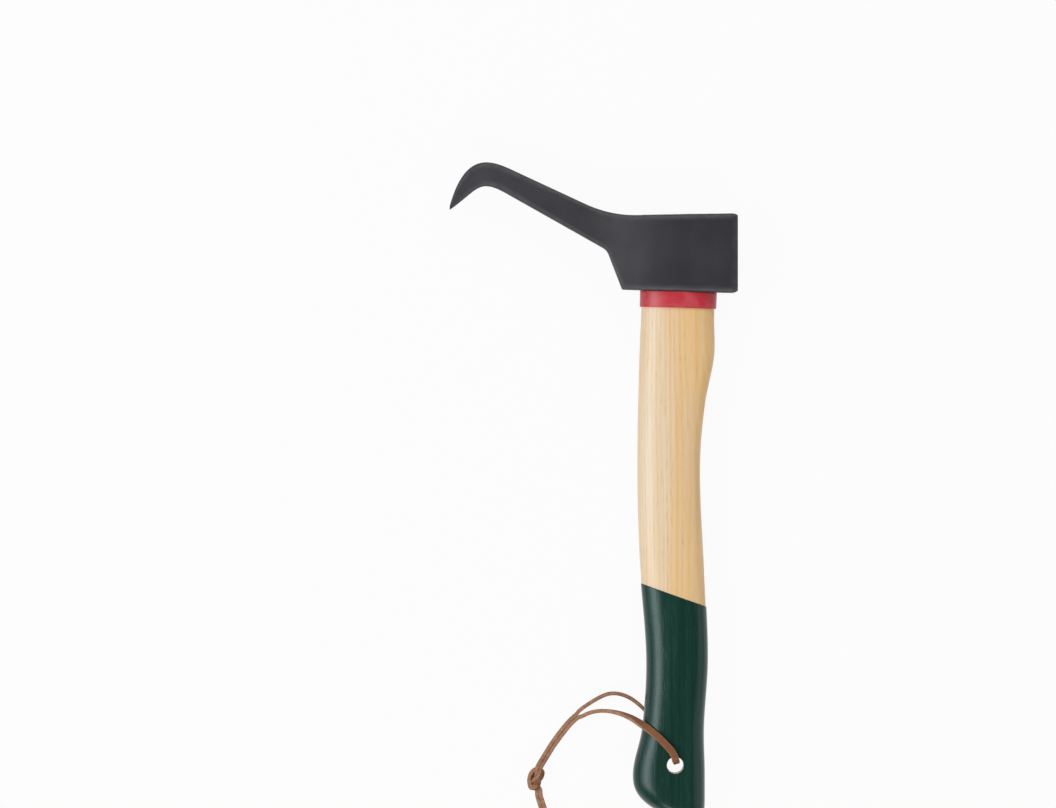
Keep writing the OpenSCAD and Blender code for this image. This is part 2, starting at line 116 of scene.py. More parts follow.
class Finishes(bpy.types.PropertyGroup):
    black: colour("Head", "Satin black of the forged head", 43, 42, 48)
    # Paler edge colour of the head: partly rubbed wear, partly a painted highlight along the rounded edges
    bare_edge_and_highlight: colour("Rubbed edge", "Head colour where the edges are rubbed", 84, 82, 86)
    pale_wood: colour("Pale wood", "Ash between its growth rings", 238, 222, 198)
    warm_wood: colour("Warm wood", "Ash in its denser, warmer streaks", 241, 194, 122)
    dark_wood: colour("Grain", "Open pores and ring lines of the ash", 212, 164, 104)
    red: colour("Collar", "Satin red of the collar", 198, 48, 62)
    green: colour("Coating", "Dark green of the dipped grip", 13, 49, 40)
    leather: colour("Leather", "Waxed faces of the lace", 130, 80, 47)
    leather_edge: colour("Leather edge", "Raw cut edges of the lace", 180, 138, 112)
    steel: colour("Steel", "Bare steel of the small wedge", 176, 178, 182)
    floor: colour("Floor", "The floor that the tool lies on", 216, 216, 216)


# ---- Sums for curves and sections


def unit(vector):
    return vector / np.linalg.norm(vector)


def blend(first, last, share):
    return first + (last - first) * share


def smooth(share):
    share = np.clip(share, 0, 1)
    return share * share * (3 - 2 * share)


def heading(degrees):
    return np.array([math.cos(math.radians(degrees)), math.sin(math.radians(degrees))])


def grade(degrees):
    """How much a line with a slope in degrees rises for its length across."""
    return math.tan(math.radians(degrees))


def bezier(points, share):
    a, b, c, d = points
    rest = 1 - share
    return rest**3 * a + 3 * rest**2 * share * b + 3 * rest * share**2 * c + share**3 * d


def through_keys(keys, at):
    """A smooth curve through keys of (place, value), flat at its last key."""

    def slope(i):
        if i == len(keys) - 1:
            return 0
        before = keys[max(0, i - 1)]
        after = keys[i + 1]
        return (after[1] - before[1]) / (after[0] - before[0])

    i = 0
    while i < len(keys) - 2 and at >= keys[i + 1][0]:
        i += 1
    (start, low), (end, high) = keys[i], keys[i + 1]
    span = end - start
    t = (at - start) / span
    return (
        (2 * t**3 - 3 * t**2 + 1) * low
        + (t**3 - 2 * t**2 + t) * span * slope(i)
        + (3 * t**2 - 2 * t**3) * high
        + (t**3 - t**2) * span * slope(i + 1)
    )


def oval(long_side, short_side, fullness, sides):
    """Points on an oval. A fullness of 2 is an ellipse, and more is squarer."""
    angle = (np.arange(sides) + 0.5) * 2 * math.pi / sides
    across = np.sign(np.cos(angle)) * np.abs(np.cos(angle)) ** (2 / fullness)
    along = np.sign(np.sin(angle)) * np.abs(np.sin(angle)) ** (2 / fullness)
    return np.stack([long_side / 2 * across, short_side / 2 * along], 1)


# ---- Meshes


def put(name, data):
    """Puts a new object at the frame's origin."""
    made = bpy.data.objects.new(name, data)
    bpy.context.scene.collection.objects.link(made)
    return made


def shade(mesh, sharp_angle=35):
    mesh.shade_smooth()
    mesh.set_sharp_from_angle(angle=math.radians(sharp_angle))


def new_piece(name, points, faces):
    mesh = bpy.data.meshes.new(name)
    mesh.from_pydata([tuple(map(float, p)) for p in points], [], faces)
    shade(mesh)
    return put(name, mesh)


def loft(name, rings, closed=False):
    """A skin through rings that turn anticlockwise when seen from the last of them."""
    count = len(rings[0])
    points = np.concatenate(rings)
    faces = []
    for i in range(len(rings) - (0 if closed else 1)):
        low, high = i * count, (i + 1) % len(rings) * count
        for k in range(count):
            after = (k + 1) % count
            faces.append((low + k, low + after, high + after, high + k))
    if not closed:
        faces.append(tuple(range(count - 1, -1, -1)))
        faces.append(tuple(range(len(points) - count, len(points))))
    return new_piece(name, points, faces)


def settle(piece, sharp_angle=35):
    """Turns what the piece's modifiers make into its own mesh."""
    graph = bpy.context.evaluated_depsgraph_get()
    made = bpy.data.meshes.new_from_object(piece.evaluated_get(graph))
    piece.modifiers.clear()
    piece.data = made
    shade(made, sharp_angle)


def cut(piece, *cutters):
    for cutter in cutters:
        modifier = piece.modifiers.new("cut", "BOOLEAN")
        modifier.operation = "DIFFERENCE"
        modifier.solver = "EXACT"
        modifier.object = cutter
    settle(piece)
    for cutter in cutters:
        bpy.data.objects.remove(cutter)


def finish_piece(piece, material, slot, *nodes):
    """Gives a piece its material, and puts it on the tool in place of its plain solids."""
    piece.data.materials.clear()
    piece.data.materials.append(material)
    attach(piece, BODY)
    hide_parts(*nodes)


# ---- Nodes and finishes


def sum_method(operation):
    """A method of a tone that adds the node of one sum."""
    return lambda self, *others: self.nodes.add("ShaderNodeMath", {"operation": operation}, [self, *others])


class Tone:
    """A socket of a tree of nodes that takes part in sums."""

    __add__ = __radd__ = sum_method("ADD")
    __sub__ = sum_method("SUBTRACT")
    __mul__ = sum_method("MULTIPLY")
    __truediv__ = sum_method("DIVIDE")
    __pow__ = sum_method("POWER")
    highest = sum_method("MAXIMUM")
    size = sum_method("ABSOLUTE")
    # What is left of the value above its whole number
    part = sum_method("FRACT")

    def __init__(self, nodes, socket):
        self.nodes = nodes
        self.socket = socket

    def ramp(self, low, high, to_low=0.0, to_high=1.0):
        """Runs smoothly from one value to another between two limits."""
        limits = {"From Min": low, "From Max": high, "To Min": to_low, "To Max": to_high}
        return self.nodes.add("ShaderNodeMapRange", {"interpolation_type": "SMOOTHSTEP"}, {"Value": self, **limits})


class Nodes:
    """A tree of nodes."""

    def __init__(self, tree):
        self.tree = tree
        tree.nodes.clear()

    def add(self, kind, settings=None, inputs=(), output=0):
        """Adds a node with its inputs by name or in their order, and gives one of its outputs."""
        node = self.tree.nodes.new(kind)
        for name, value in (settings or {}).items():
            setattr(node, name, value)
        for key, value in inputs.items() if isinstance(inputs, dict) else enumerate(inputs):
            if isinstance(value, Tone):
                self.tree.links.new(value.socket, node.inputs[key])
            else:
                node.inputs[key].default_value = value
        return Tone(self, node.outputs[output]) if node.outputs else None

    def split(self, vector):
        node = self.add("ShaderNodeSeparateXYZ", inputs=[vector]).socket.node
        return [Tone(self, node.outputs[axis]) for axis in "XYZ"]


class Finish(Nodes):
    """The nodes of a new material or world."""

    def __init__(self, name, library="materials"):
        self.owner = getattr(bpy.data, library).new(name)
        self.owner.use_nodes = True
        super().__init__(self.owner.node_tree)

    def place(self):
        return self.add("ShaderNodeTexCoord", output="Object")

    def attribute(self, name):
        return self.add("ShaderNodeAttribute", {"attribute_name": name}, output="Fac")

    def noise(self, scale, detail=2.0, roughness=0.5, start=(0, 0, 0)):
        """Noise over the piece, with a scale in features per metre for each axis."""
        scale = scale if hasattr(scale, "__len__") else (scale, scale, scale)
        vector = self.add("ShaderNodeMapping", inputs={"Vector": self.place(), "Scale": scale, "Location": start})
        return self.add(
            "ShaderNodeTexNoise", inputs={"Vector": vector, "Scale": 1.0, "Detail": detail, "Roughness": roughness}
        )

    def mix(self, share, first, last):
        """A colour between two colours."""
        first, last = (c if isinstance(c, Tone) else (*c, 1) for c in (first, last))
        return self.add("ShaderNodeMix", {"data_type": "RGBA"}, {0: share, 6: first, 7: last}, output=2)

    def bump(self, height, strength):
        """A bump from a height in metres."""
        return self.add("ShaderNodeBump", inputs={"Height": height, "Distance": 1.0, "Strength": strength})

    def surface(self, **inputs):
        """Ends the material in a principled surface. Names are the shader's own, with _ for a space."""
        named = {key.replace("_", " "): value for key, value in inputs.items()}
        self.add("ShaderNodeOutputMaterial", inputs=[self.add("ShaderNodeBsdfPrincipled", inputs=named)])
        return self.owner


def black_forging(colours):
    """Satin black lacquer on a forged surface. Its edges are paler, partly from rubbing and partly from a painted
    highlight, and painted light makes it lighter towards the beak.
    """
    f = Finish("black_forging")
    dents = f.noise(95)
    skin = f.noise(900, 2.0, 0.6)
    cloud = f.noise(38, 3.0)
    broken = f.noise(170, 3.0, start=(3, 1, 2)).ramp(0.35, 0.7)
    # Paler colour along the edges: partly rubbed wear, partly a painted highlight where the rounded edges catch the
    # lamps
    edge_rub_and_highlight = f.attribute("edge") * (0.22 + broken * 0.28)
    across = f.split(f.place())[0]
    # Painted light: the head is lighter from its middle towards the beak, where its cheeks slope to face the lamps on
    # the left, and a little darker again along the beak
    left = across.ramp(0.006, -0.02) * 0.18 - across.ramp(-0.03, -0.055) * 0.14
    base = f.mix(cloud.ramp(0.3, 0.7, 0.0, 0.14) + left + edge_rub_and_highlight, colours.black, colours.bare_edge_and_highlight)
    height = dents * 0.00035 + skin * 0.00003
    return f.surface(
        Base_Color=base,
        Roughness=0.50 + (cloud - 0.5) * 0.16 + (skin - 0.5) * 0.10,
        Normal=f.bump(height, 0.7),
        Specular_IOR_Level=0.42,
    )


def ash(colours, name="ash", warm=0.0, pith=(-0.105, -0.052), ring=0.0024):
    """Straight-grained ash. Rings lie round a pith far beside the piece, with open pores along them."""
    f = Finish(name)
    x, y, z = f.split(f.place())
    drift = f.noise((22, 1.6, 22)) - 0.5
    waver = f.noise((70, 7, 70), start=(2, 5, 1)) - 0.5
    dx, dz = x - pith[0], z - pith[1]
    radius = (dx * dx + dz * dz) ** 0.5 + drift * 0.012 + waver * 0.0012
    years = f.noise((95, 0.9, 95), 1.0, start=(9, 3, 6))
    turn = ((radius + years * 0.006) / ring).part()
    early = turn.ramp(0.0, 0.2) * turn.ramp(0.25, 0.85, 1.0, 0.0) * years.ramp(0.32, 0.62, 0.35, 1.0)
    streak = f.noise((340, 4.5, 340), 3.0, 0.55, start=(1, 2, 3))
    fibre = f.noise((1700, 26, 1700), 2.0, 0.6)
    broad = f.noise((60, 2.2, 60), start=(7, 1, 4))
    pores = f.noise((2300, 130, 2300), 1.0, start=(4, 4, 4)).ramp(0.57, 0.68) * (early * 0.85 + 0.15)
    # Towards the handle's +x side the wood turns to its warmer, darker tone: partly the ash's own tone, partly painted
    # shade on the side away from the lamps on the left
    side = x.ramp(-0.016, 0.006)
    tone = broad.ramp(0.35, 0.65) * 0.24 + streak.ramp(0.36, 0.64) * 0.26 + side * 0.54 + warm
    wood = f.mix(tone, colours.pale_wood, colours.warm_wood)
    wood = f.mix(early * 0.18 + pores * 0.38 + fibre.ramp(0.48, 0.75) * 0.24, wood, colours.dark_wood)
    end = f.split(f.add("ShaderNodeTexCoord", output="Normal"))[1].size().ramp(0.75, 0.95)
    wood = f.mix(end * 0.30, wood, colours.dark_wood)
    height = (fibre - 0.5) * 0.00002 - pores * 0.00005 - early * 0.00001
    return f.surface(
        Base_Color=wood,
        Roughness=0.31 + pores * 0.2 + (streak - 0.5) * 0.12,
        Normal=f.bump(height, 0.6),
        Specular_IOR_Level=0.35,
    )


def green_lacquer(colours):
    """Glossy dipped lacquer, with the grain of the wood showing faintly through it."""
    f = Finish("green_lacquer")
    streak = f.noise((330, 5, 330), 3.0, 0.55, start=(1, 2, 3))
    fibre = f.noise((1500, 30, 1500), 2.0, 0.6)
    pores = f.noise((1300, 90, 1300), 1.0, start=(4, 4, 4)).ramp(0.56, 0.70)
    runs = f.noise((55, 16, 55))
    pale = tuple(min(1.0, channel * 1.9 + 0.004) for channel in colours.green)
    base = f.mix(streak.ramp(0.35, 0.7) * 0.42 + pores * 0.18, colours.green, pale)
    height = (fibre - 0.5) * 0.000012 - pores * 0.00003 + (runs - 0.5) * 0.00025
    return f.surface(
        Base_Color=base,
        Roughness=0.25 + (streak - 0.5) * 0.10 + pores * 0.06,
        Normal=f.bump(height, 0.55),
        Specular_IOR_Level=0.5,
        Specular_Tint=(0.82, 0.98, 1.0, 1.0),
    )


def red_collar(colours):
    """Satin red plastic, faintly scuffed round the tool."""
    f = Finish("red_collar")
    scuff = f.noise((140, 1400, 140), 3.0, 0.6)
    cloud = f.noise(120)
    pale = tuple(blend(channel, 1.0, 0.16) for channel in colours.red)
    base = f.mix(cloud.ramp(0.4, 0.75) * 0.3 + scuff.ramp(0.56, 0.75) * 0.35, colours.red, pale)
    return f.surface(
        Base_Color=base,
        Roughness=0.33 + (scuff - 0.5) * 0.2,
        Normal=f.bump(scuff * 0.00003 + cloud * 0.00005, 0.5),
        Specular_IOR_Level=0.45,
    )


def waxed_leather(colours):
    """Waxed leather with fine grain on its faces and paler, rougher cut edges."""
    f = Finish("waxed_leather")
    grain = f.noise(2600, 3.0, 0.6)
    pull = f.noise(420, 3.0, start=(2, 2, 2))
    cloud = f.noise(95, start=(5, 1, 1))
    edge = f.attribute("cut_edge").ramp(0.7, 1.0)
    dark = tuple(channel * 0.62 for channel in colours.leather)
    base = f.mix(cloud.ramp(0.3, 0.7) * 0.35 + pull.ramp(0.45, 0.7) * 0.18, colours.leather, dark)
    base = f.mix(edge * pull.ramp(0.25, 0.7, 0.9, 0.45), base, colours.leather_edge)
    return f.surface(
        Base_Color=base,
        Roughness=0.52 + edge * 0.22 + (grain - 0.5) * 0.2,
        Normal=f.bump(grain * 0.000015 + pull * 0.00005, 0.6),
        Specular_IOR_Level=0.3,
    )


def bare_steel(colours):
    """Pressed steel, brushed across."""
    f = Finish("bare_steel")
    brush = f.noise((3000, 3000, 260), 2.0, 0.6)
    cloud = f.noise(300)
    dark = tuple(channel * 0.6 for channel in colours.steel)
    return f.surface(
        Base_Color=f.mix(cloud.ramp(0.4, 0.7), colours.steel, dark),
        Metallic=1.0,
        Roughness=0.36 + (brush - 0.5) * 0.25,
        Normal=f.bump(brush * 0.00001, 0.6),
    )


# ---- The head

# Slopes are in degrees, and lengths in metres
TOP_SLOPE, UNDER_SLOPE = 1.0, 1.7
BEAK_TOP_SLOPE, BEAK_UNDER_SLOPE = 25.0, 29.4
BEAK_TOP_STRAIGHT, BEAK_UNDER_STRAIGHT = 0.0477, 0.0695
TOP_ROOT, BROW = np.array([-0.0564, 0.0297]), np.array([-0.0427, 0.0017])
TOP_FRONT_REACH = 0.024
TIP_HEIGHT, TIP_THICK, BEND_THICK = 0.0024, 0.003, 0.012
# The power by which the nose thickens from its point to its bend
NOSE_SWELL = 0.8
# How far each curve's end is pulled: the nose's at its point and bend, the root's at the beak and the top face
TIP_TOP_PULL, TIP_UNDER_PULL = 0.0357 * heading(75), 0.0200 * heading(32)
BEND_TOP_PULL, BEND_UNDER_PULL = 0.0140, 0.0192
ROOT_PULL, FRONT_PULL = 0.009, 0.014
# The brow's share of the way to its sharp corner
BROW_PULL = 0.6
BROW_ROUND, FRONT_ROUND, POLL_CORNER = 0.0028, 0.0014, 0.0015
NOSE_SECTIONS, SHANK_SECTIONS, ROOT_SECTIONS, CORNER_SECTIONS, POLL_SECTIONS = 30, 14, 28, 6, 9
# The head's thickness behind the bend, by the distance across, which leans with the height
THICK_LEAN = 0.212
THICKENING_KEYS = [(-0.1105, BEND_THICK), (-0.0627, 0.0168), (-0.045, 0.0208), (-0.0288, 0.0268)]
FULL_THICK_AT = -0.0143
# A section's points in each corner, the next point's distance, and the most of a slim one that the corners take
CORNER_STEPS = 7
SIDE_START = 0.0008
ROUND_HEIGHT_SHARE, ROUND_THICK_SHARE = 0.6, 0.3
EYE_FULLNESS = 2.8
# The rounding of the eye's two mouths, and how far its cutter stands out of them
MOUTH_ROUND, MOUTH_SPREAD = 0.0009, 0.00081
MOUTH_SKIN, MOUTH_OVER, MOUTH_OVER_SPREAD = 0.00002, 0.004, 0.0045
SAME_POINT = 0.0001
# The edge mark round the eye's mouths, for rubbed wear and painted highlight
MOUTH_WEAR_AND_HIGHLIGHT = 0.5


def side_lines(head):
    """The corners of the eye block in side view: top front, top poll, lower front and lower poll."""
    top, under = grade(TOP_SLOPE), grade(UNDER_SLOPE)
    return (
        np.array([-TOP_FRONT_REACH, head.top_rise - TOP_FRONT_REACH * top]),
        np.array([head.poll_reach, head.top_rise + head.poll_reach * top]),
        np.array([-head.front_reach, -head.under_drop + head.front_reach * under]),
        np.array([head.poll_reach, -head.under_drop - head.poll_reach * under]),
    )


def head_sections(head):
    """Sections from the point to the poll, each with its top and lower point, thickness and edge mark for rubbed wear
    and painted highlight.
    Where the thickness is None, each point has the thickness of its place."""
    tip = np.array([-head.tip_reach, head.tip_rise])
    half_tip = np.array([0, TIP_HEIGHT / 2])
    top_front, top_poll, under_front, under_poll = side_lines(head)
    back_top, back_under = heading(180 - BEAK_TOP_SLOPE), heading(180 - BEAK_UNDER_SLOPE)
    top_bend = TOP_ROOT + BEAK_TOP_STRAIGHT * back_top
    under_bend = BROW + BEAK_UNDER_STRAIGHT * back_under
    nose_top = [tip + half_tip, tip + TIP_TOP_PULL, top_bend + BEND_TOP_PULL * back_top, top_bend]
    nose_under = [tip - half_tip, tip + TIP_UNDER_PULL, under_bend + BEND_UNDER_PULL * back_under, under_bend]
    root_top = [TOP_ROOT, TOP_ROOT - ROOT_PULL * back_top, top_front - FRONT_PULL * heading(TOP_SLOPE), top_front]
    down = unit(under_front - BROW)
    brow_start, brow_end = BROW + BROW_ROUND * back_under, BROW + BROW_ROUND * down
    brow_curve = [brow_start, blend(brow_start, BROW, BROW_PULL), blend(brow_end, BROW, BROW_PULL), brow_end]
    along = unit(under_poll - under_front)
    corner = [under_front - FRONT_ROUND * down, under_front, under_front, under_front + FRONT_ROUND * along]
    corner_share = FRONT_ROUND / np.linalg.norm(under_poll - under_front)

    def shares(count):
        return np.linspace(0, 1, count, endpoint=False)

    def cheek(share):
        return blend(top_front, top_poll, share), blend(under_front, under_poll, share)

    sections = []
    for t in shares(NOSE_SECTIONS):
        thick = blend(TIP_THICK, BEND_THICK, t**NOSE_SWELL)
        sections.append((bezier(nose_top, t), bezier(nose_under, t), thick, 0))
    for t in shares(SHANK_SECTIONS):
        sections.append((blend(top_bend, TOP_ROOT, t), blend(under_bend, brow_start, t), None, 0))
    for t in shares(ROOT_SECTIONS):
        lower = bezier(brow_curve, 2 * t) if t < 0.5 else blend(brow_end, corner[0], 2 * t - 1)
        sections.append((bezier(root_top, t), lower, None, 0))
    for t in np.linspace(0, 1, CORNER_SECTIONS):
        sections.append((cheek(t * corner_share)[0], bezier(corner, t), None, 0))
    reach = head.poll_reach + TOP_FRONT_REACH
    last_flat = 1 - head.edge_width / reach - 0.012
    for t in [*np.linspace(0.04, 0.34, 10), 0.5, 0.7, last_flat]:
        sections.append((*cheek(t), None, 0))
    for angle in np.radians(np.linspace(0, 90, POLL_SECTIONS)):
        top, lower = cheek(1 - head.edge_width * (1 - math.sin(angle)) / reach)
        drop = np.array([0, POLL_CORNER * (1 - math.cos(angle))])
        thick = head.thickness - 2 * head.edge_depth * (1 - math.cos(angle))
        sections.append((top - drop, lower + drop, thick, math.sin(2 * angle)))
    return sections


def head_thickness(head, place):
    """The head's thickness at a place in side view, behind the nose's bend."""
    keys = [*THICKENING_KEYS, (FULL_THICK_AT, head.thickness)]
    return through_keys(keys, np.clip(place[0] - THICK_LEAN * place[1], keys[0][0], FULL_THICK_AT))


def head_ring(head, top, lower, thick, wear_and_highlight):
    """One section: a rectangle with rounded corners, and each point's edge mark for rubbed wear and painted highlight.
    """
    half_height = np.linalg.norm(top - lower) / 2
    rise, middle = unit(top - lower), (top + lower) / 2
    round_h = min(head.edge_width, ROUND_HEIGHT_SHARE * half_height)
    round_t = min(head.edge_depth, ROUND_THICK_SHARE * (thick or 1))

    def half_thick(h):
        return (thick or head_thickness(head, middle + h * rise)) / 2

    corners = []
    for quarter, (side_h, side_t) in enumerate(((1, 1), (-1, 1), (-1, -1), (1, -1))):
        for k in range(CORNER_STEPS + 1):
            turn = math.radians(90 * (quarter + k / CORNER_STEPS))
            h = side_h * (half_height - round_h) + round_h * math.cos(turn)
            t = side_t * (half_thick(h) - round_t) + round_t * math.sin(turn)
            corners.append((h, t, max(wear_and_highlight, math.sin(math.pi * k / CORNER_STEPS))))
    ring = []
    for i, (h, t, point_wear_and_highlight) in enumerate(corners):
        ring.append((h, t, point_wear_and_highlight))
        if i % (CORNER_STEPS + 1) < CORNER_STEPS:
            continue
        next_h, next_t, _ = corners[(i + 1) % len(corners)]
        near = min(SIDE_START / math.hypot(next_h - h, next_t - t), 0.2)
        on_cheek = t * next_t > 0 and abs(next_h - h) > round_h
        for share in (near, 0.25, 0.5, 0.75, 1 - near):
            at_h, at_t = blend(h, next_h, share), blend(t, next_t, share)
            if on_cheek:
                at_t = math.copysign(half_thick(at_h), at_t)
            ring.append((at_h, at_t, wear_and_highlight))
    places = np.array([[*(middle + h * rise), head.thickness / 2 + t] for h, t, _ in ring])
    return places, [point_wear_and_highlight for _, _, point_wear_and_highlight in ring]


def eye_ring(head, y, slope=0.0, grow=0.0, sides=96):
    """The eye's oval at a height, tilted by a slope and grown all round."""
    growth = head.eye_flare * (y + head.under_drop) / (head.top_rise + head.under_drop) + 2 * grow
    points = oval(head.eye_length + growth, head.eye_width + growth, EYE_FULLNESS, sides)
    return np.array([[px, y + slope * px, head.thickness / 2 + pz] for px, pz in points])


def eye_mouth(head, face, outward, slope):
    """The eye cutter's rings at one end, from outside the head to where the mouth's rounding ends."""
    rings = [eye_ring(head, face + outward * MOUTH_OVER, slope, MOUTH_OVER_SPREAD)]
    for depth in np.sin(np.radians(np.linspace(0, 90, 7))):
        y = face + outward * (MOUTH_SKIN - MOUTH_ROUND * depth)
        rings.append(eye_ring(head, y, slope, MOUTH_SPREAD * (1 - depth)))
    return rings


def make_head(head, colours):
    rings, wear_and_highlight = zip(*(head_ring(head, *section) for section in head_sections(head)))
    points, point_wear_and_highlight = np.concatenate(rings), np.concatenate(wear_and_highlight)
    piece = loft("forged_head", rings)
    upper = eye_mouth(head, head.top_rise, 1, grade(TOP_SLOPE))
    lower = eye_mouth(head, -head.under_drop, -1, -grade(UNDER_SLOPE))
    cut(piece, loft("eye", upper + lower[::-1]))
    # The edge mark for rubbed wear and painted highlight is found again for each point of the cut mesh, from the
    # nearest point of the whole one
    layer = piece.data.attributes.new("edge", "FLOAT", "POINT")
    for vertex in piece.data.vertices:
        apart = np.abs(points - np.array(vertex.co)).sum(1)
        nearest = int(apart.argmin())
        layer.data[vertex.index].value = float(point_wear_and_highlight[nearest]) if apart[nearest] < SAME_POINT else MOUTH_WEAR_AND_HIGHLIGHT
    finish_piece(piece, black_forging(colours), "forged_head", "head")


# ---- The handle, its collar and its coating

SHOULDER_GAP, EYE_FIT = 0.0002, 0.0001
TENON_PROUD, TENON_END = 0.0001, 0.004
SWELL_AT = 0.290
# The reach to the front edge, the reach to the back edge and the thickness, each by the distance below the head
FRONT_KEYS = [
    (0.0, 0.0217), (0.0156, 0.02215), (0.039, 0.0232), (0.106, 0.0244),
    (0.16072, 0.022918), (0.220, 0.0187), (0.262, 0.02118), (SWELL_AT, 0.0267),
]
BACK_KEYS = [
    (0.0, 0.0223), (0.0156, 0.0217), (0.039, 0.0217), (0.06781, 0.016175), (0.106, 0.0132),
    (0.16756, 0.01562), (0.220, 0.0176), (0.262, 0.0152), (SWELL_AT, 0.0157),
]
THICK_KEYS = [(0.0, 0.0244), (0.039, 0.02368), (0.106, 0.0220), (0.220, 0.0224), (SWELL_AT, 0.0246)]
# What is left of each measure at the handle's end, and the power and root by which the foot rounds down to it
FRONT_FOOT, BACK_FOOT, THICK_FOOT = (0.0005, 2.6, 1), (0.008, 10, 2), (0.010, 6, 2)
FOOT_RINGS = 24
HANDLE_SIDES, HANDLE_FULLNESS = 88, 2.4
# The rings below the shoulder: the first one's place, their count, and how far down they turn square
FIRST_RING, HANDLE_RINGS, SQUARE_AT = 0.004, 110, 0.02
# The hole's straight half, the rounding of its ends, and the drill's heights outside the wood
HOLE_STRAIGHT, HOLE_OUT, HOLE_DOWN = 0.0119, 0.0006, 0.0009
DRILL_HEIGHTS = (0.016, 0.0130)
# The wedges' slots: depth, length, width at the top, width at the bottom and turn in degrees
WOOD_SLOT, STEEL_SLOT = (0.030, 0.12, 0.0047, 0.0013, 0), (0.022, 0.0201, 0.0027, 0.0007, 35)
SLOT_OVER = 0.006
# The gap to the wood, the narrowing of the collar's lower end, and the rounding of its rims
COLLAR_GAP, COLLAR_TAPER, COLLAR_RIM = 0.00003, 0.00003, 0.0003
# The gap to the wood, and the slope of the coating's edge in degrees
COAT_GAP, COAT_SLOPE = 0.00002, 19.5
COAT_INNER_ROWS, COAT_ROWS = 12, 60


def handle_ring(head, handle, at, foot=0.0, grow=0.0, edge=None):
    """A ring at a distance below the head. foot runs from 0 at the swell to 1 at the handle's end,
    and edge tilts the ring: it gives each point's own distance from its place across."""

    def measure(keys, end, place):
        if not foot:
            return through_keys(keys, place)
        left, power, root = end
        return blend(left, keys[-1][1], max(0.0, 1 - foot**power) ** (1 / root))

    def spread(place, k=slice(None)):
        front = measure(FRONT_KEYS, FRONT_FOOT, place) + grow
        back = measure(BACK_KEYS, BACK_FOOT, place) + grow
        thick = measure(THICK_KEYS, THICK_FOOT, place) + 2 * grow
        return oval(front + back, thick, HANDLE_FULLNESS, HANDLE_SIDES)[k] + [(back - front) / 2, 0]

    flat = spread(at)
    down = np.full(HANDLE_SIDES, at + foot * (handle.length - SWELL_AT + grow))
    if edge:
        for k in range(HANDLE_SIDES):
            for _ in range(2):
                down[k] = edge(flat[k][0])
                flat[k] = spread(down[k], k)
    return np.stack([flat[:, 0], -head.under_drop - down, head.thickness / 2 + flat[:, 1]], 1)


def foot_rings(head, handle, grow):
    steps = np.sin(np.radians(np.linspace(0, 90, FOOT_RINGS + 1)))[1:]
    return [handle_ring(head, handle, SWELL_AT, step, grow) for step in steps]


def parallel_edge(distance, slope):
    """An edge across the handle with a slope in degrees, by its distance on the line through the eye."""
    return lambda across: distance + across * grade(slope)


def hole_cutter(head, handle):
    """The thong's drill, which widens a little where it leaves the wood."""
    profile = [*zip((2 * HOLE_OUT, HOLE_OUT), DRILL_HEIGHTS)]
    profile += [(HOLE_OUT * (1 - c), HOLE_STRAIGHT + HOLE_DOWN * s) for c, s in map(heading, range(90, -1, -18))]
    turn = np.radians(np.arange(64) * 360 / 64)
    rings = []
    for out, up in profile + [(out, -up) for out, up in reversed(profile)]:
        radius = handle.hole / 2 + out
        x = -handle.hole_front + radius * np.cos(turn)
        y = -head.under_drop - handle.hole_at + radius * np.sin(turn)
        rings.append(np.stack([x, y, np.full(64, head.thickness / 2 + up)], 1)[::-1])
    return loft("drill", rings)


def slot_cutter(head, depth, across, thick, edge, turn):
    """A wedge's slot, from above the top face down to its depth."""
    over_thick = thick + (thick - edge) * SLOT_OVER / depth
    c, s = heading(turn)
    rings = []
    for y, t in ((head.top_rise + SLOT_OVER, over_thick), (head.top_rise - depth, edge)):
        corners = np.array([[1, 1], [-1, 1], [-1, -1], [1, -1]]) * [across / 2, t / 2]
        turned = corners @ np.array([[c, s], [-s, c]])
        rings.append(np.array([[px, y, head.thickness / 2 + pz] for px, pz in turned]))
    return loft("slot", rings)


def make_handle(head, handle, colours):
    tenon = (
        (head.top_rise + TENON_PROUD, grade(TOP_SLOPE)),
        (head.top_rise - TENON_END, 0),
        (0.0, 0),
        (-head.under_drop + TENON_END, 0),
        (-head.under_drop - SHOULDER_GAP, -grade(UNDER_SLOPE)),
    )
    rings = [eye_ring(head, y, slope, -EYE_FIT, HANDLE_SIDES) for y, slope in tenon]
    rings.append(handle_ring(head, handle, 0.0, edge=parallel_edge(SHOULDER_GAP, UNDER_SLOPE)))
    for place in np.linspace(FIRST_RING, SWELL_AT, HANDLE_RINGS):
        slope = UNDER_SLOPE * (1 - smooth(place / SQUARE_AT))
        rings.append(handle_ring(head, handle, place, edge=parallel_edge(place, slope)))
    rings += foot_rings(head, handle, 0.0)
    piece = loft("ash_handle", rings)
    cut(piece, hole_cutter(head, handle), slot_cutter(head, *WOOD_SLOT), slot_cutter(head, *STEEL_SLOT))
    finish_piece(piece, ash(colours), "ash", "handle")


def make_collar(head, handle, colours):
    """A closed skin, up the inside from the lower end and down the outside, with a rounded rim at both ends."""
    wall, end = handle.collar_wall, handle.collar_length
    slim = wall - COLLAR_TAPER
    rim = [(COLLAR_RIM * (1 - c), COLLAR_RIM * (1 - s)) for c, s in map(heading, np.linspace(0, 90, 5))]
    profile = [(place, COLLAR_GAP) for place in np.linspace(SHOULDER_GAP, end, 8)[::-1]]
    profile += [(SHOULDER_GAP + near, wall - far) for near, far in rim]
    profile += [(place, wall) for place in np.linspace(SHOULDER_GAP + 0.001, end - 0.0016, 5)]
    profile += [(end - 0.0008, slim)]
    profile += [(end - far, slim - near) for near, far in rim]
    rings = [
        handle_ring(head, handle, 0, grow=grow, edge=parallel_edge(place, UNDER_SLOPE)) for place, grow in profile
    ]
    finish_piece(loft("red_collar", rings, closed=True), red_collar(colours), "red_collar", "neck_collar")


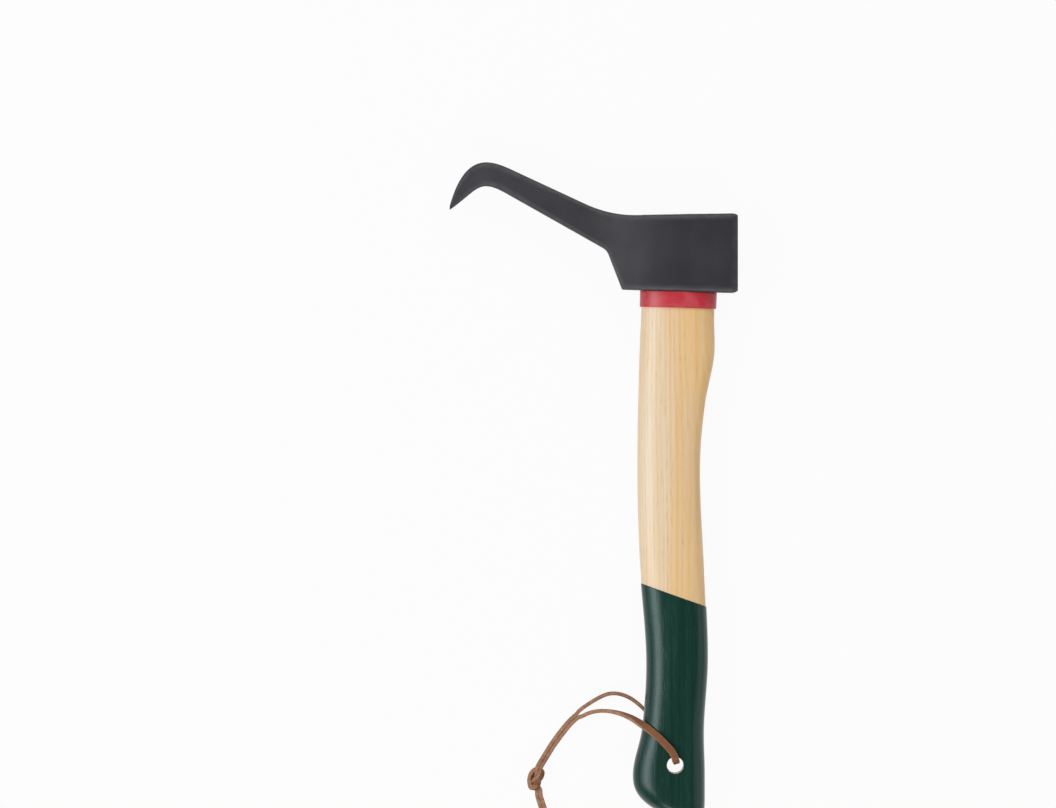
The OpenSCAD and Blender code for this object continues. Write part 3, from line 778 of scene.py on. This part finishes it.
def make_coating(head, handle, colours):
    wall = handle.coat_wall
    coated = SWELL_AT - handle.coat_at

    def down_from_edge(share, grow):
        def place(across):
            return blend(parallel_edge(handle.coat_at, COAT_SLOPE)(across), SWELL_AT, share)

        return handle_ring(head, handle, 0, grow=grow, edge=place)

    def skin(shares, grow):
        """Rings down to the swell and round the foot, at a distance from the wood."""
        rings = [down_from_edge(share, grow) for share in shares]
        return rings + [handle_ring(head, handle, SWELL_AT, grow=grow)] + foot_rings(head, handle, grow)

    inner = skin(np.arange(COAT_INNER_ROWS) / COAT_INNER_ROWS, COAT_GAP)
    lip = [down_from_edge(wall * (1 - c) / coated, wall * s) for c, s in map(heading, np.linspace(15, 90, 4))]
    outer = skin(np.arange(1, COAT_ROWS) / COAT_ROWS, wall)
    piece = loft("grip_lacquer", inner[::-1] + lip + outer)
    cut(piece, hole_cutter(head, handle))
    finish_piece(piece, green_lacquer(colours), "green_coating", "grip_coating")


# ---- The leather thong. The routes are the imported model's own, in millimetres


def metres(*places):
    return np.array(places) / 1000


FRONT_ROUTE = metres(
    (-1.2, -304.9, 15), (-1.2, -304.9, 20), (-1.2, -304.9, 24.4), (-1.3, -304.7, 26.8),
    (-1.5, -304, 28.3), (-1.9, -302.8, 29.2), (-2.5, -301, 29.5), (-4.4, -298, 29.4),
    (-7.8, -294.2, 29.1), (-12.2, -289.8, 28.3), (-16.6, -286.2, 26.7), (-20.6, -283.4, 23.9),
    (-24.6, -280.8, 20.4), (-29.4, -278.2, 17), (-35.2, -276.2, 13.4), (-41.2, -275.1, 10.2),
    (-47, -275, 7.4), (-52.6, -276.1, 5), (-57.4, -278.3, 3.3), (-61.2, -280.6, 2.4),
    (-64.8, -283.9, 2.2), (-69.9, -290.2, 2.2), (-74.9, -297.2, 2.4), (-79.2, -304.2, 3.6),
    (-81, -307, 5.1), (-82.2, -309.4, 6.1),
)
BACK_ROUTE = metres(
    (-1.2, -304.9, 15), (-1.2, -304.9, 10), (-1.2, -304.9, 5.6), (-1.3, -304.7, 3.4),
    (-1.5, -304, 1.9), (-1.9, -302.9, 1.25), (-2.5, -301.2, 1.1), (-4.4, -298, 1.1),
    (-8.7, -291, 1.1), (-13, -284.2, 1.1), (-17.2, -277.8, 1.1), (-20.6, -273.8, 1.25),
    (-24.6, -270.2, 1.6), (-29.4, -267, 2), (-35.2, -264.9, 2.3), (-41.2, -264.8, 2.4),
    (-47, -267, 2.4), (-52.8, -270.4, 2.3), (-58, -274, 2.2), (-62.4, -277.9, 2.2),
    (-66.2, -281.8, 2.2), (-71.6, -288.6, 2.2), (-76.6, -295.6, 2.4), (-81.1, -302.8, 3.4),
    (-83.1, -306.2, 4.9), (-84.7, -309.4, 6.1),
)
TAIL_A_ROUTE = metres(
    (-82.4, -323.2, 4.2), (-82.2, -326, 3.4), (-81.1, -329.4, 2.6), (-79.4, -333.8, 2.2),
    (-76.8, -339, 2.2), (-73, -344.2, 2.2), (-68.4, -348.8, 2.2), (-63.4, -352.6, 2.2),
)
TAIL_B_ROUTE = metres(
    (-84.7, -323.2, 4.2), (-84.5, -326.4, 3.4), (-83.4, -330.2, 2.6), (-82.2, -334.6, 2.2),
    (-80.4, -339.8, 2.2), (-78.3, -345.2, 2.2), (-76.5, -350.6, 2.2), (-75.3, -355.8, 2.2),
)
KNOT_ROUTE = metres(
    (-83.4, -309.4, 6.2), (-83.5, -311.5, 6.1), (-83.5, -313.5, 6), (-83.4, -315.6, 5.8),
    (-83.5, -317.7, 5.9), (-84.3, -319.5, 6.2), (-86, -320.6, 5.9), (-87.5, -320.6, 4.6),
    (-88.4, -319.5, 3.1), (-88.9, -317.8, 2), (-88.8, -315.9, 1.4), (-88.1, -314, 1.3),
    (-86.7, -312.4, 1.7), (-85.1, -311.5, 2.5), (-83.2, -311.1, 3.4), (-81.5, -311.3, 4.5),
    (-80.8, -312, 6.2), (-80.7, -313.1, 7.9), (-81.5, -314.7, 9), (-83.1, -316, 8.8),
    (-84.9, -316.8, 8.1), (-86.1, -317.1, 6.5), (-85.9, -317.8, 4.6), (-85, -319.3, 3.6),
    (-84.1, -321.2, 3.4), (-83.6, -323.2, 3.6),
)
# The points between which each lace rolls from lying flat onto its edge
FRONT_TURN, BACK_TURN, TAIL_TURN = (8.5, 15.5), (6, 9.6), (-2, -1)
# The steps between two points of a route, the points in a lace's corner, and how level a way is that counts as upright
STRIP_STEPS, STRIP_CORNER, UPRIGHT = 5, 3, 0.01
# The gap over which two laces side by side are drawn together
DRAW_REACH = 0.0008
# How far the tails start below their routes, and over how many points
TAIL_SINK, TAIL_SINK_STEPS = 0.0006, 4
# The knot's middle, how far its line is moved, and its size to the right, to the left and along against the route
KNOT_MIDDLE, KNOT_SHIFT, KNOT_LIFT = (-0.0846, -0.316), 0.0006, 0.0006
KNOT_RIGHT, KNOT_LEFT, KNOT_ALONG = 0.74, 0.76, 1.08
# How far each lace lies from the line in thicknesses, and how much nearer and slimmer it is where it is tight
LACE_OUT, LACE_NEARER, LACE_SLIMMER = 0.48, 0.15, 0.22
# The points over which the knot tightens, turns outward, turns across before its end, and fades into its laces
TIGHT_STEPS, TURN_STEPS, END_STEPS, FADE_STEPS = 10, 12, 16, 7.0
TURN_SHARE, END_SHARE = 0.12, 0.5
# How many points of its neighbours it runs over, its size there, and its greatest size
JOIN_STEPS, JOIN_SIZE, KNOT_SIZE = 3, 0.95, 0.98


def strip_tree():
    """Geometry nodes that sweep a flat lace with rounded corners along a line of points."""
    tree = bpy.data.node_groups.new("leather_strip", "GeometryNodeTree")
    for name in ("Geometry", "Width", "Thickness", "Corner", "Material"):
        kind = name if name in ("Geometry", "Material") else "Float"
        tree.interface.new_socket(name, in_out="INPUT", socket_type="NodeSocket" + kind)
    tree.interface.new_socket("Geometry", in_out="OUTPUT", socket_type="NodeSocketGeometry")

    nodes = Nodes(tree)
    given = {socket.name: Tone(nodes, socket) for socket in tree.nodes.new("NodeGroupInput").outputs}
    side = nodes.add("GeometryNodeInputNamedAttribute", {"data_type": "FLOAT_VECTOR"}, {"Name": "side"})
    swell = nodes.add("GeometryNodeInputNamedAttribute", {"data_type": "FLOAT"}, {"Name": "swell"})
    line = nodes.add("GeometryNodeMeshToCurve", inputs={"Mesh": given["Geometry"]})
    line = nodes.add("GeometryNodeSetCurveNormal", {"mode": "FREE"}, {"Curve": line, "Normal": side})
    sizes = {"Width": given["Width"], "Height": given["Thickness"]}
    outline = nodes.add("GeometryNodeCurvePrimitiveQuadrilateral", inputs=sizes)
    corners = {"Curve": outline, "Count": STRIP_CORNER, "Radius": given["Corner"]}
    outline = nodes.add("GeometryNodeFilletCurve", {"mode": "POLY"}, corners)
    # 0 in the middle of the lace's faces and 1 on its cut edges
    share = (nodes.split(nodes.add("GeometryNodeInputPosition"))[0] / given["Width"]).size() * 2.0
    outline = nodes.add(
        "GeometryNodeStoreNamedAttribute",
        {"data_type": "FLOAT", "domain": "POINT"},
        {"Geometry": outline, "Name": "cut_edge", "Value": share},
    )
    swept = {"Curve": line, "Profile Curve": outline, "Scale": swell, "Fill Caps": True}
    strip = nodes.add("GeometryNodeCurveToMesh", inputs=swept)
    strip = nodes.add("GeometryNodeRealizeInstances", inputs={"Geometry": strip})
    strip = nodes.add("GeometryNodeSetMaterial", inputs={"Geometry": strip, "Material": given["Material"]})
    nodes.add("NodeGroupOutput", inputs={"Geometry": strip})
    return tree


def along_route(route, first_way, last_way, turn):
    """Finer points on a route, with the way across the lace at each."""
    start = route[0] - first_way * np.linalg.norm(route[1] - route[0])
    end = route[-1] + last_way * np.linalg.norm(route[-1] - route[-2])
    points = np.vstack([start, route, end])
    places, sides = [], []
    for i in range(len(route) - 1):
        a, b, c, d = points[i : i + 4]
        slope, bend, twist = c - a, 2 * a - 5 * b + 4 * c - d, 3 * b - a - 3 * c + d
        steps = STRIP_STEPS if i < len(route) - 2 else STRIP_STEPS + 1
        for t in np.arange(steps) / STRIP_STEPS:
            places.append(0.5 * (2 * b + slope * t + bend * t**2 + twist * t**3))
            way = unit(slope + 2 * bend * t + 3 * twist * t**2)
            level = np.array([1.0, 0, 0]) if math.hypot(way[0], way[1]) < UPRIGHT else unit(np.cross(way, UP))
            roll = math.pi / 2 * smooth((i + t - turn[0]) / (turn[1] - turn[0]))
            sides.append(level * math.cos(roll) + np.cross(way, level) * math.sin(roll))
    return np.array(places), np.array(sides)


def make_strip(name, runs, thong, material, tree):
    """Makes laces from runs of places, each with the ways across the lace and its share of the full size."""
    places, sides, sizes = (np.concatenate(values) for values in zip(*runs))
    ends = np.cumsum([len(run[0]) for run in runs])
    edges = [(i, i + 1) for i in range(len(places) - 1) if i + 1 not in ends]
    mesh = bpy.data.meshes.new(name)
    mesh.from_pydata([tuple(map(float, place)) for place in places], edges, [])
    for key, kind, field, values in (("side", "FLOAT_VECTOR", "vector", sides), ("swell", "FLOAT", "value", sizes)):
        mesh.attributes.new(key, kind, "POINT").data.foreach_set(field, values.astype(np.float32).ravel())
    piece = put(name, mesh)
    modifier = piece.modifiers.new("strip", "NODES")
    modifier.node_group = tree
    values = {"Width": thong.width, "Thickness": thong.thickness, "Corner": thong.corner, "Material": material}
    for item in tree.interface.items_tree:
        if item.in_out == "INPUT" and item.name in values:
            modifier[item.identifier] = values[item.name]
    settle(piece, 60)
    return piece


def uneven(count, seed):
    """A share of the full size for each place, as a cut lace is nowhere quite even."""
    keys = np.arange(0, count + 6, 6)
    return np.interp(np.arange(count), keys, 1 + np.random.default_rng(seed).uniform(-0.04, 0.02, len(keys)))


def lie_on_floor(places, sides, thong):
    """Lifts a lace where its lower corner would sink into the floor as it rolls onto its edge."""
    upright = np.minimum(np.abs(sides[:, 2]), 1)
    half_height = (thong.width * upright + thong.thickness * np.sqrt(1 - upright**2)) / 2
    places[:, 2] = np.maximum(places[:, 2], half_height - thong.corner / 2)


def drawn_together(first, second, apart):
    """Closes the small gap between two laces that lie side by side, by moving each halfway."""
    moved = []
    for places, partner in ((first, second), (second, first)):
        way = partner[None] - places[:, None]
        gaps = np.linalg.norm(way, axis=2)
        nearest = gaps.argmin(1)
        rows = np.arange(len(places))
        gap = gaps[rows, nearest]
        share = smooth(1 - (gap - apart - DRAW_REACH) / DRAW_REACH) * (gap > apart)
        pull = way[rows, nearest] / np.maximum(gap, 1e-6)[:, None] * ((gap - apart) / 2 * share)[:, None]
        moved.append(places + pull)
    return moved


def knot_line():
    """The places along the knot, and its way at each."""
    places, _ = along_route(KNOT_ROUTE, TOWARDS_FOOT, TOWARDS_FOOT, TAIL_TURN)
    across = places[:, 0] - KNOT_MIDDLE[0] - KNOT_SHIFT
    places[:, 0] = KNOT_MIDDLE[0] + across * np.where(across > 0, KNOT_RIGHT, KNOT_LEFT)
    places[:, 1] = KNOT_MIDDLE[1] + (places[:, 1] - KNOT_MIDDLE[1]) * KNOT_ALONG
    places[:, 2] += KNOT_LIFT
    ways = np.gradient(places, axis=0)
    return places, ways / np.linalg.norm(ways, axis=1, keepdims=True)


def knot_outward(places, ways):
    """The way from the line to its first lace: carried along, and turned from the knot's middle or across."""
    count = len(places)
    middle = places[count // 5 : -count // 6].mean(0)
    outward = [np.array([1.0, 0.0, 0.0])]
    for i in range(1, count):
        carried = outward[-1] - (outward[-1] @ ways[i]) * ways[i]
        radial = places[i] - middle
        radial = radial - (radial @ ways[i]) * ways[i]
        radial = unit(radial) * math.copysign(1, radial @ carried)
        across = np.array([math.copysign(1, carried[0]), 0, 0])
        near_end = smooth((i - count + END_STEPS) / TURN_STEPS)
        turned = END_SHARE * near_end + TURN_SHARE * smooth(i / TURN_STEPS)
        outward.append(unit(blend(unit(carried), blend(radial, across, near_end), turned)))
    return np.array(outward)


def knot_runs(thong, before, after):
    """The two laces side by side through the knot, squeezed where they are drawn tight.

    before and after hold the places and ways across of the laces that it joins, and it runs a little way into them.
    """
    places, ways = knot_line()
    outward = knot_outward(places, ways)
    across = np.cross(ways, outward)
    steps = np.arange(len(places))
    tight = smooth(np.minimum(steps, steps[::-1]) / TIGHT_STEPS)
    fade = np.exp(-((steps / FADE_STEPS) ** 2))[:, None]
    join = [JOIN_SIZE] * JOIN_STEPS
    size = np.concatenate([join, np.minimum(1 - LACE_SLIMMER * tight, KNOT_SIZE), join])
    into, out = slice(-1 - JOIN_STEPS, -1), slice(1, 1 + JOIN_STEPS)
    runs = []
    for side, (line, line_sides) in zip((1, -1), before):
        lace = places + outward * side * thong.thickness * (LACE_OUT - LACE_NEARER * tight)[:, None]
        tail, tail_sides = after[0] if side * outward[-1][0] > 0 else after[1]
        lace = lace + fade * (line[-1] - lace[0]) + fade[::-1] * (tail[0] - lace[-1])
        first = math.copysign(1, line_sides[-1] @ across[0])
        last = math.copysign(1, tail_sides[0] @ across[-1])
        sides = np.vstack([line_sides[into] * first, across, tail_sides[out] * last])
        runs.append((np.vstack([line[into], lace, tail[out]]), sides, size))
    return runs


def make_thong(thong, colours):
    material, tree = waxed_leather(colours), strip_tree()
    stretches = (
        ("thong_upper", "lanyard_front", FRONT_ROUTE, UP, TOWARDS_FOOT, FRONT_TURN, "knot"),
        ("thong_lower", "lanyard_back", BACK_ROUTE, -UP, TOWARDS_FOOT, BACK_TURN, "knot"),
        ("thong_tail_a", "lanyard_tail_a", TAIL_A_ROUTE, TOWARDS_FOOT, None, TAIL_TURN, "bare"),
        ("thong_tail_b", "lanyard_tail_b", TAIL_B_ROUTE, TOWARDS_FOOT, None, TAIL_TURN, "bare"),
    )
    lines, sides = [], []
    for _, _, route, first_way, last_way, turn, _ in stretches:
        last_way = unit(route[-1] - route[-2]) if last_way is None else last_way
        places, across = along_route(route, first_way, last_way, turn)
        lie_on_floor(places, across, thong)
        lines.append(places)
        sides.append(across)
    half = len(lines[0]) // 2
    lines[0][half:], lines[1][half:] = drawn_together(lines[0][half:], lines[1][half:], thong.thickness)
    lines[2], lines[3] = drawn_together(lines[2], lines[3], thong.thickness)
    for line in lines[2:]:
        line[:, 2] -= TAIL_SINK * np.exp(-((np.arange(len(line)) / TAIL_SINK_STEPS) ** 2))
    pairs = list(zip(lines, sides))
    runs = knot_runs(thong, pairs[:2], pairs[2:])
    knot = make_strip("thong_knot", runs, thong, material, tree)
    finish_piece(knot, material, "leather", "lanyard_knot")
    for seed, (name, node, route, _, _, _, far_end) in enumerate(stretches):
        run = (lines[seed], sides[seed], uneven(len(lines[seed]), seed))
        strip = make_strip(name, [run], thong, material, tree)
        finish_piece(strip, material, "leather", node)


# ---- The stage

CAMERA_AWAY = 6.0
# The height of the tool's middle, at which a pixel has its size
MIDDLE_HEIGHT = 0.015
# Each lamp's tilt from straight above and side in degrees, distance, size and radiance
LAMPS = {
    "wide_lamp": (48, 180, 2.2, (1.6, 1.9), 1.05),
    "strip_lamp": (42, 180, 2.19, (1.6, 0.9), 3.0),
    "side_lamp": (66, 0, 2.4, (2.2, 1.3), 0.5),
    "near_lamp": (52, -86, 2.4, (2.2, 1.2), 3.2),
    "far_lamp": (52, 86, 2.4, (2.2, 1.2), 2.7),
}
LAMP_AIM = Vector((-0.03, -0.12, 0.0))
FLOOR_REACH = 9
# The share of plain white in the floor as the camera and mirrors see it
FLOOR_WHITE = 0.94
# The heights between which the dome dims, and its light at each
DOME_HEIGHTS, DOME_LIGHT = (0.12, 0.6), (0.32, 0.128)


def make_camera():
    data = bpy.data.cameras.new("camera")
    data.sensor_fit = "HORIZONTAL"
    data.sensor_width = 36
    data.lens = data.sensor_width * CAMERA_AWAY / (PICTURE_WIDTH * PIXEL)
    data.clip_start, data.clip_end = 0.05, 50
    camera = put("camera", data)
    camera.location = (*PICTURE_MIDDLE, CAMERA_AWAY + MIDDLE_HEIGHT)
    bpy.context.scene.camera = camera


def make_lamp(name, tilt, way, away, size, radiance):
    lamp = bpy.data.lights.new(name, "AREA")
    lamp.shape = "RECTANGLE"
    lamp.size, lamp.size_y = size
    lamp.energy = radiance * math.pi * size[0] * size[1]
    tilt, way = math.radians(tilt), math.radians(way)
    stand = Vector((math.sin(tilt) * math.cos(way), math.sin(tilt) * math.sin(way), math.cos(tilt)))
    panel = put(name, lamp)
    panel.location = LAMP_AIM + stand * away
    panel.rotation_mode = "QUATERNION"
    panel.rotation_quaternion = stand.to_track_quat("Z", "Y")


def make_floor(colours):
    reach = FLOOR_REACH
    corners = [(-reach, -reach, 0), (reach, -reach, 0), (reach, reach, 0), (-reach, reach, 0)]
    piece = new_piece("floor", corners, [(0, 1, 2, 3)])
    f = Finish("pale_floor")
    camera, mirror, glass = (
        f.add("ShaderNodeLightPath", output=ray) for ray in ("Is Camera Ray", "Is Glossy Ray", "Is Transmission Ray")
    )
    plain = f.add("ShaderNodeBsdfDiffuse", inputs={"Color": (*colours.floor, 1)})
    white = f.add("ShaderNodeEmission", inputs={"Color": (1, 1, 1, 1), "Strength": 1.0})
    share = camera.highest(mirror).highest(glass) * FLOOR_WHITE
    f.add("ShaderNodeOutputMaterial", inputs=[f.add("ShaderNodeMixShader", inputs=[share, plain, white])])
    piece.data.materials.append(f.owner)


def make_world():
    """A dome that is brighter round the horizon than overhead, and plain white for the camera."""
    f = Finish("studio", "worlds")
    height = f.split(f.add("ShaderNodeTexCoord", output="Generated"))[2]
    strength = height.ramp(*DOME_HEIGHTS, *DOME_LIGHT).highest(f.add("ShaderNodeLightPath", output="Is Camera Ray"))
    light = f.add("ShaderNodeBackground", inputs={"Color": (1, 1, 1, 1), "Strength": strength})
    f.add("ShaderNodeOutputWorld", inputs=[light])
    bpy.context.scene.world = f.owner


def make_stage(colours):
    make_camera()
    make_floor(colours)
    make_world()
    for name, settings in LAMPS.items():
        make_lamp(name, *settings)
    bpy.context.scene.view_settings.view_transform = "Standard"


# ---- The add-on


class LogPickOperator:
    bl_options = {"REGISTER", "UNDO"}


class LOGPICK_OT_stage(LogPickOperator, bpy.types.Operator):
    """Makes the floor, the lamps and the camera above the tool"""

    bl_idname = "logpick.stage"
    bl_label = "Stage"

    def execute(self, context):
        make_stage(context.scene.logpick_finishes)
        return {"FINISHED"}


class LOGPICK_OT_thong(LogPickOperator, bpy.types.Operator):
    """Makes the leather lace through the handle"""

    bl_idname = "logpick.thong"
    bl_label = "Leather thong"

    def execute(self, context):
        make_thong(context.scene.logpick_thong, context.scene.logpick_finishes)
        return {"FINISHED"}


class LOGPICK_OT_head(LogPickOperator, bpy.types.Operator):
    """Makes the forged head with its beak and eye"""

    bl_idname = "logpick.head"
    bl_label = "Forged head"

    def execute(self, context):
        make_head(context.scene.logpick_head, context.scene.logpick_finishes)
        return {"FINISHED"}


class LOGPICK_OT_handle(LogPickOperator, bpy.types.Operator):
    """Makes the ash handle with its tenon and hole"""

    bl_idname = "logpick.handle"
    bl_label = "Ash handle"

    def execute(self, context):
        scene = context.scene
        make_handle(scene.logpick_head, scene.logpick_handle, scene.logpick_finishes)
        return {"FINISHED"}


class LOGPICK_OT_collar(LogPickOperator, bpy.types.Operator):
    """Makes the red collar under the head"""

    bl_idname = "logpick.collar"
    bl_label = "Collar"

    def execute(self, context):
        scene = context.scene
        make_collar(scene.logpick_head, scene.logpick_handle, scene.logpick_finishes)
        return {"FINISHED"}


class LOGPICK_OT_coating(LogPickOperator, bpy.types.Operator):
    """Makes the dipped green coating of the grip"""

    bl_idname = "logpick.coating"
    bl_label = "Grip coating"

    def execute(self, context):
        scene = context.scene
        make_coating(scene.logpick_head, scene.logpick_handle, scene.logpick_finishes)
        return {"FINISHED"}


class LOGPICK_OT_wedges(LogPickOperator, bpy.types.Operator):
    """Gives the two wedges in the eye their finishes"""

    bl_idname = "logpick.wedges"
    bl_label = "Wedges"

    def execute(self, context):
        colours = context.scene.logpick_finishes
        for node, material in (
            ("wood_wedge", ash(colours, "wedge_wood", warm=0.6, pith=(0.02, 0.09), ring=0.0016)),
            ("steel_wedge", bare_steel(colours)),
        ):
            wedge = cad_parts[node]
            wedge.data.materials.clear()
            wedge.data.materials.append(material)
        return {"FINISHED"}


class LOGPICK_PT_panel(bpy.types.Panel):
    bl_idname = "LOGPICK_PT_panel"
    bl_label = "Log Pick"
    bl_space_type = "VIEW_3D"
    bl_region_type = "UI"
    bl_category = "Log Pick"

    def draw(self, context):
        for operator in OPERATORS:
            self.layout.operator(operator.bl_idname)
        for name, kind in GROUPS.items():
            box = self.layout.box()
            for prop in kind.__annotations__:
                box.prop(getattr(context.scene, name), prop)


OPERATORS = (
    LOGPICK_OT_stage,
    LOGPICK_OT_thong,
    LOGPICK_OT_head,
    LOGPICK_OT_handle,
    LOGPICK_OT_collar,
    LOGPICK_OT_coating,
    LOGPICK_OT_wedges,
)
GROUPS = {
    "logpick_head": HeadSizes,
    "logpick_handle": HandleSizes,
    "logpick_thong": ThongSizes,
    "logpick_finishes": Finishes,
}
CLASSES = (*GROUPS.values(), *OPERATORS, LOGPICK_PT_panel)


def register():
    for made in CLASSES:
        bpy.utils.register_class(made)
    for name, kind in GROUPS.items():
        setattr(bpy.types.Scene, name, PointerProperty(type=kind))


def unregister():
    for name in GROUPS:
        delattr(bpy.types.Scene, name)
    for made in reversed(CLASSES):
        bpy.utils.unregister_class(made)


def main():
    register()
    for make in (
        bpy.ops.logpick.stage,
        bpy.ops.logpick.thong,
        bpy.ops.logpick.head,
        bpy.ops.logpick.handle,
        bpy.ops.logpick.collar,
        bpy.ops.logpick.coating,
        bpy.ops.logpick.wedges,
    ):
        make()


if __name__ == "__main__":
    main()
